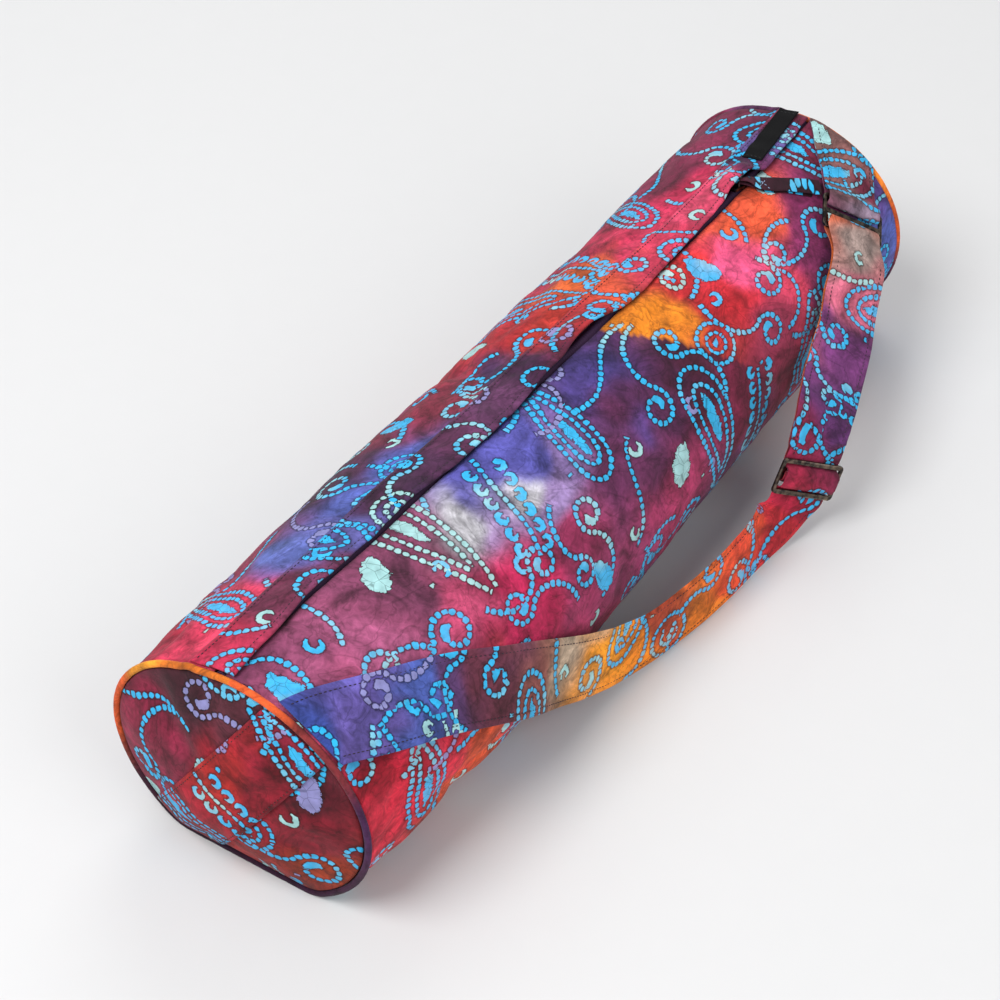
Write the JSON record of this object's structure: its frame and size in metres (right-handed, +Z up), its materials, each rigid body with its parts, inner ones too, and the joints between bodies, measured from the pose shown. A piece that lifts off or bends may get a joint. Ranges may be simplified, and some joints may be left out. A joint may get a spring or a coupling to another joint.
{
  "type": "yoga mat bag",
  "caption": "Long tubular mat bag of printed cotton lying on its side, with a top zipper under a flap and an adjustable shoulder strap.",
  "frame": {"origin": "on the resting plane, under the middle of the bag's length, midway between its end seams", "axes": "+X along the bag from its base to its far end, +Z up, and the strap lies on the -Y side"},
  "size_m": [0.7023, 0.2576, 0.1667],
  "materials": {
    "printed_cotton": "printed woven cotton",
    "strap_cotton": "printed woven cotton, doubled and stitched",
    "base_cotton": "printed woven cotton",
    "piping_cotton": "cotton over cord",
    "pull_cotton": "folded cotton strip",
    "label_satin": "woven satin label",
    "zipper_nylon": "nylon coil on woven tape",
    "gunmetal": "gunmetal plated"
  },
  "bodies": {
    "root": {"body": "printed_cotton", "base_disc": "base_cotton", "base_band": "base_cotton", "end_disc": "base_cotton", "base_piping": "piping_cotton", "end_piping": "piping_cotton", "zipper_tape": "zipper_nylon", "zipper_slider": "gunmetal", "zipper_pull": "pull_cotton", "zipper_flap": "printed_cotton", "label": "label_satin", "anchor_tab": "strap_cotton", "strap_ring": "gunmetal", "strap": "strap_cotton", "strap_slider": "gunmetal"}
  },
  "joints": []
}
